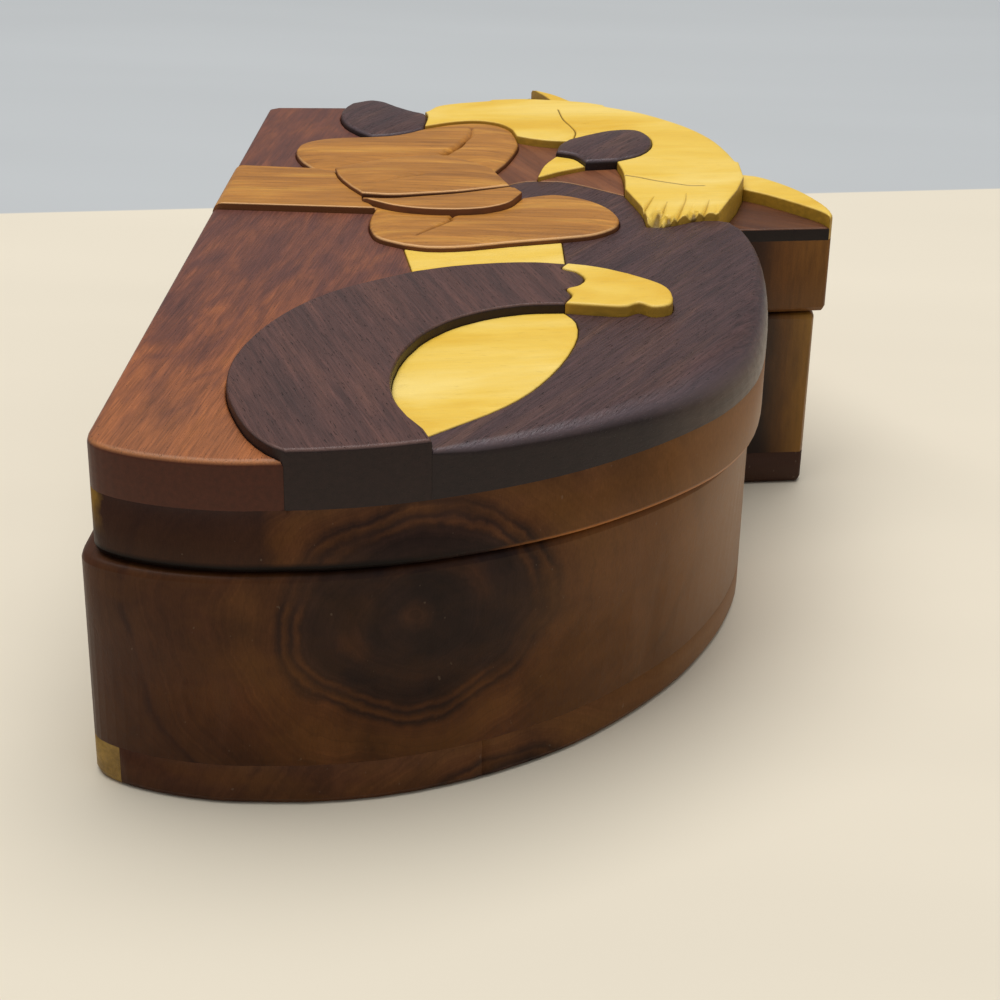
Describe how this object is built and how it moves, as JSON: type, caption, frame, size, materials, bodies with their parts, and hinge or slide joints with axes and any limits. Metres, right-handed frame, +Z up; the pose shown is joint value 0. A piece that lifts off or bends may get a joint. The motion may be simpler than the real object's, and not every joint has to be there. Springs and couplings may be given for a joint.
{
  "type": "wooden intarsia puzzle box",
  "caption": "Small wooden keepsake box with a sliding lid, inlaid with raised pieces that draw a sleeping animal hugging a gift.",
  "frame": {"origin": "middle of the overall box at floor level, under the base", "axes": "+Z up, +Y from the rounded front towards the ears at the back (the way the lid slides off), +X from the straight gift side towards the animal's back"},
  "size_m": [0.1256, 0.2104, 0.061],
  "materials": {
    "walnut": "satin lacquer",
    "olive_wood": "satin lacquer",
    "sapwood": "satin lacquer",
    "red_gift_wood": "satin lacquer",
    "dark_fur_wood": "satin lacquer",
    "golden_bow_wood": "satin lacquer",
    "yellow_wood": "satin lacquer",
    "throat_wood": "satin lacquer"
  },
  "bodies": {
    "base": {"base_wall": "walnut", "base_ear_block_right": "olive_wood", "base_ear_block_far": "olive_wood", "bottom_board_left": "sapwood", "bottom_board_middle": "walnut", "bottom_board_right": "walnut"},
    "key": {"locking_key": "walnut"},
    "lid": {"lid_board": "walnut", "lid_ear_block_right": "olive_wood", "lid_ear_block_far": "olive_wood", "runner_left_front": "golden_bow_wood", "runner_left_rear": "golden_bow_wood", "runner_right": "golden_bow_wood", "gift_panel_front": "red_gift_wood", "gift_panel_rear": "red_gift_wood", "ribbon_strip": "golden_bow_wood", "bow_loop_upper": "golden_bow_wood", "bow_loop_lower": "golden_bow_wood", "bow_knot": "golden_bow_wood", "bow_knot_fold": "golden_bow_wood", "animal_body": "dark_fur_wood", "belly_upper": "yellow_wood", "belly_lower": "yellow_wood", "leg": "dark_fur_wood", "paw": "yellow_wood", "head": "yellow_wood", "nose": "dark_fur_wood", "lip": "yellow_wood", "throat_left": "throat_wood", "throat_right": "throat_wood", "hand": "dark_fur_wood", "ear_right_edge": "yellow_wood", "ear_right_dish": "throat_wood", "ear_far_edge": "yellow_wood", "ear_far_dish": "throat_wood"}
  },
  "joints": [
    {"name": "lid_slide", "type": "slide", "parent": "base", "child": "lid", "axis": [0, 0.9998, -0.0185], "range_m": [-0.0004, 0.172]},
    {"name": "key_slide", "type": "slide", "parent": "base", "child": "key", "axis": [-1, 0, 0], "range_m": [-0.00385, 0.006]}
  ]
}
